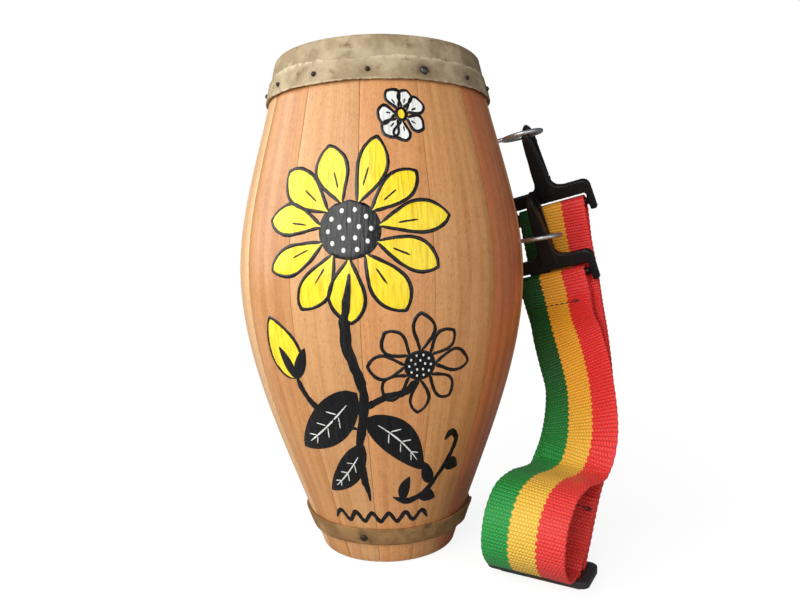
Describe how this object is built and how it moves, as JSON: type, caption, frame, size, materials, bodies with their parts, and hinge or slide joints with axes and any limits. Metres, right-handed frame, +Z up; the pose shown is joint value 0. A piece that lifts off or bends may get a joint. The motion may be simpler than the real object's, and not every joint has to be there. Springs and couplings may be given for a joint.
{
  "type": "candombe drum",
  "caption": "Barrel hand drum of bowed wooden staves with a tacked rawhide head, a hide hoop at its open foot, and a striped webbing carrying strap on snap hooks.",
  "frame": {"origin": "on the floor under the middle of the whole outline, strap included; the barrel axis stands 22.8 mm to -X and 7.5 mm to +Y of it", "axes": "+Z up along the barrel from the foot to the head, -Y the front as pictured, +X towards the strap"},
  "size_m": [0.193, 0.1626, 0.25],
  "materials": {
    "pale_wood": "pale stave, satin varnish",
    "dark_wood": "darker stave, satin varnish",
    "rawhide": "dry rawhide, matt",
    "hoop_hide": "brown hide, matt",
    "tack_steel": "dull dark steel",
    "zinc_steel": "bright zinc",
    "black_plastic": "moulded, satin",
    "webbing": "woven webbing with a green, a yellow and a red stripe"
  },
  "bodies": {
    "drum": {"stave_01": "pale_wood", "stave_02": "pale_wood", "stave_03": "dark_wood", "stave_04": "pale_wood", "stave_05": "pale_wood", "stave_06": "pale_wood", "stave_07": "dark_wood", "stave_08": "pale_wood", "stave_09": "pale_wood", "stave_10": "dark_wood", "stave_11": "pale_wood", "stave_12": "pale_wood", "stave_13": "dark_wood", "stave_14": "pale_wood", "rawhide_head": "rawhide", "tacking_strip": "rawhide", "head_tack_01": "tack_steel", "head_tack_02": "tack_steel", "head_tack_03": "tack_steel", "head_tack_04": "tack_steel", "head_tack_05": "tack_steel", "head_tack_06": "tack_steel", "head_tack_07": "tack_steel", "head_tack_08": "tack_steel", "head_tack_09": "tack_steel", "head_tack_10": "tack_steel", "head_tack_11": "tack_steel", "head_tack_12": "tack_steel", "head_tack_13": "tack_steel", "head_tack_14": "tack_steel", "foot_hoop": "hoop_hide", "hoop_nail_1": "tack_steel", "hoop_nail_2": "tack_steel", "hoop_nail_3": "tack_steel", "hoop_nail_4": "tack_steel", "upper_screw_eye": "zinc_steel", "lower_screw_eye": "zinc_steel", "strap_front": "webbing", "strap_loop": "webbing", "strap_rear": "webbing", "strap_end": "webbing"},
    "upper_hook": {"upper_snap_hook": "black_plastic"},
    "upper_gate": {"upper_hook_gate": "black_plastic"},
    "lower_hook": {"lower_snap_hook": "black_plastic"},
    "lower_gate": {"lower_hook_gate": "black_plastic"},
    "slider": {"strap_slider": "black_plastic"}
  },
  "joints": [
    {"name": "upper_hook_swing", "type": "hinge", "parent": "drum", "child": "upper_hook", "pos_m": [0.05878, 0.01874, 0.2147], "axis": [0.8208, -0.5453, 0.1703], "range_deg": [0, 30], "stiffness_Nm_per_rad": 0.05, "deforming": ["strap_rear"]},
    {"name": "lower_hook_swing", "type": "hinge", "parent": "drum", "child": "lower_hook", "pos_m": [0.06738, 0.01993, 0.15979], "axis": [0.9094, -0.3911, 0.1418], "range_deg": [0, 30], "stiffness_Nm_per_rad": 0.05, "deforming": ["strap_front"]},
    {"name": "upper_gate_open", "type": "hinge", "parent": "upper_hook", "child": "upper_gate", "pos_m": [0.06985, 0.02831, 0.19439], "axis": [0.8295, -0.5183, 0.2079], "range_deg": [0, 10], "stiffness_Nm_per_rad": 0.02, "springref_deg": -11.46},
    {"name": "lower_gate_open", "type": "hinge", "parent": "lower_hook", "child": "lower_gate", "pos_m": [0.07058, 0.02366, 0.15631], "axis": [0.8295, -0.5183, 0.2079], "range_deg": [0, 10], "stiffness_Nm_per_rad": 0.02, "springref_deg": -11.46},
    {"name": "slider_slide", "type": "slide", "parent": "drum", "child": "slider", "axis": [0.3242, 0.2925, 0.8996], "range_m": [0, 0.03], "deforming": ["strap_loop", "strap_end"]}
  ]
}
